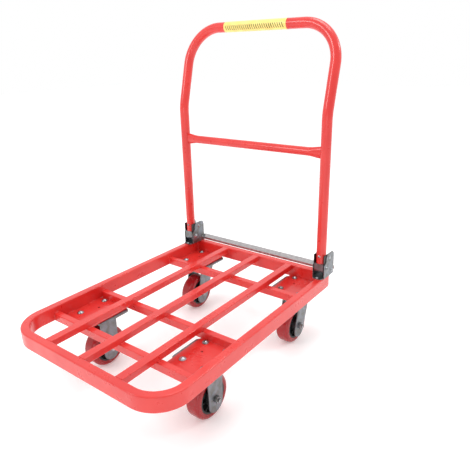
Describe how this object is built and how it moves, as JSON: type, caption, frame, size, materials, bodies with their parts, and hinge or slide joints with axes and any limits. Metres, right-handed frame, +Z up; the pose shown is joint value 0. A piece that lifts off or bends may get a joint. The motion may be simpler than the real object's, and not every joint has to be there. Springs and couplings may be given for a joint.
{
  "type": "folding platform cart",
  "caption": "Open-frame platform cart with a fold-down push handle, foot release, fixed front casters and swivel rear casters.",
  "frame": {"origin": "middle of the object's footprint on the floor", "axes": "+Z up, +Y from the front of the deck towards the handle, +X to the right when pushing side is behind"},
  "size_m": [0.6166, 0.86, 1.0264],
  "materials": {
    "red_paint": "gloss powder coat",
    "zinc_plate": "bright zinc plated",
    "galvanised": "galvanised",
    "fastener": "zinc plated",
    "bearing_steel": "ground",
    "spring_steel": "oiled",
    "tread": "satin polyurethane",
    "wheel_core": "moulded",
    "nylon": "moulded",
    "label_film": "printed film"
  },
  "bodies": {
    "deck": {"bracket_screws": "fastener", "caster_bolts": "fastener", "caster_nuts": "fastener", "caster_sheet_front_left": "red_paint", "caster_sheet_front_right": "red_paint", "caster_sheet_rear_left": "red_paint", "caster_sheet_rear_right": "red_paint", "caster_washers": "fastener", "cross_member_front": "red_paint", "cross_member_middle": "red_paint", "cross_member_rear": "red_paint", "deck_bar_left": "red_paint", "deck_bar_middle": "red_paint", "deck_bar_right": "red_paint", "front_axle_bolts": "fastener", "front_axle_nuts": "fastener", "hinge_bracket_left": "zinc_plate", "hinge_bracket_right": "zinc_plate", "hinge_liners": "nylon", "hinge_pins": "fastener", "kingpins": "bearing_steel", "pawl_pins": "fastener", "perimeter_rail": "red_paint", "release_springs": "spring_steel", "rigid_fork_left": "zinc_plate", "rigid_fork_right": "zinc_plate", "stop_pins": "fastener", "swivel_balls": "bearing_steel", "swivel_plate_left": "zinc_plate", "swivel_plate_right": "zinc_plate"},
    "handle": {"handle_tube": "red_paint", "handle_brace": "red_paint", "handle_foot_left": "zinc_plate", "handle_foot_right": "zinc_plate", "handle_foot_rivets": "fastener", "handle_label": "label_film"},
    "release": {"release_pedal": "galvanised", "release_pawl_left": "zinc_plate", "release_pawl_right": "zinc_plate"},
    "swivel_left": {"swivel_fork_left": "zinc_plate", "rear_axle_bolt_left": "fastener", "rear_axle_nut_left": "fastener"},
    "swivel_right": {"swivel_fork_right": "zinc_plate", "rear_axle_bolt_right": "fastener", "rear_axle_nut_right": "fastener"},
    "wheel_front_left": {"wheel_tread_front_left": "tread", "wheel_core_front_left": "wheel_core", "wheel_bearings_front_left": "bearing_steel"},
    "wheel_front_right": {"wheel_tread_front_right": "tread", "wheel_core_front_right": "wheel_core", "wheel_bearings_front_right": "bearing_steel"},
    "wheel_rear_left": {"wheel_tread_rear_left": "tread", "wheel_core_rear_left": "wheel_core", "wheel_bearings_rear_left": "bearing_steel"},
    "wheel_rear_right": {"wheel_tread_rear_right": "tread", "wheel_core_rear_right": "wheel_core", "wheel_bearings_rear_right": "bearing_steel"}
  },
  "joints": [
    {"name": "handle_fold", "type": "hinge", "parent": "deck", "child": "handle", "pos_m": [0, 0.338, 0.262], "axis": [1, 0, 0], "range_deg": [0, 90]},
    {"name": "release_press", "type": "hinge", "parent": "deck", "child": "release", "pos_m": [0, 0.377, 0.245], "axis": [-1, 0, 0], "range_deg": [0, 12], "stiffness_Nm_per_rad": 1, "springref_deg": -22.92},
    {"name": "swivel_turn_left", "type": "hinge", "parent": "deck", "child": "swivel_left", "pos_m": [-0.212, 0.308, 0.17], "axis": [0, 0, 1], "continuous": true},
    {"name": "wheel_roll_front_left", "type": "hinge", "parent": "deck", "child": "wheel_front_left", "pos_m": [-0.212, -0.178, 0.065], "axis": [1, 0, 0], "continuous": true},
    {"name": "wheel_roll_rear_left", "type": "hinge", "parent": "swivel_left", "child": "wheel_rear_left", "pos_m": [-0.212, 0.272, 0.065], "axis": [1, 0, 0], "continuous": true},
    {"name": "swivel_turn_right", "type": "hinge", "parent": "deck", "child": "swivel_right", "pos_m": [0.212, 0.308, 0.17], "axis": [0, 0, 1], "continuous": true},
    {"name": "wheel_roll_front_right", "type": "hinge", "parent": "deck", "child": "wheel_front_right", "pos_m": [0.212, -0.178, 0.065], "axis": [1, 0, 0], "continuous": true},
    {"name": "wheel_roll_rear_right", "type": "hinge", "parent": "swivel_right", "child": "wheel_rear_right", "pos_m": [0.212, 0.272, 0.065], "axis": [1, 0, 0], "continuous": true}
  ]
}
